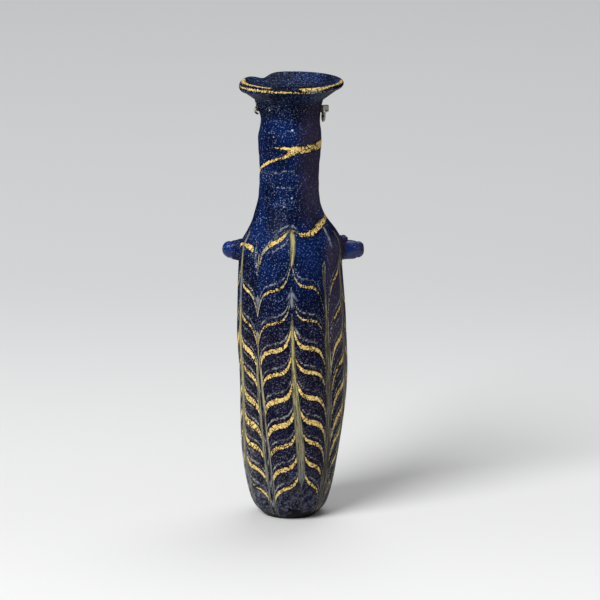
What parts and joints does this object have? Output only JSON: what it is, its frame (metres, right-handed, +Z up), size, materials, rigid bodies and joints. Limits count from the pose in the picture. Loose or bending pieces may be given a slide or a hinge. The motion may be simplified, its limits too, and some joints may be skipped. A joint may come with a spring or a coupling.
{
  "type": "glass perfume flask",
  "caption": "Slim core-formed glass perfume flask with a dished disc rim, long neck, rounded foot and small side lugs, dark blue with combed yellow trails, and a thin wire round its neck.",
  "frame": {"origin": "centre of the small flat on the underside that the flask stands on", "axes": "+Z up along the flask, -Y towards the side shown in the picture, +X to that side's right, through the blunt lug"},
  "size_m": [0.0429, 0.033, 0.134],
  "materials": {
    "cobalt_glass": "gloss",
    "dull_wire": "satin"
  },
  "bodies": {
    "root": {"flask": "cobalt_glass", "neck_wire": "dull_wire"}
  },
  "joints": []
}
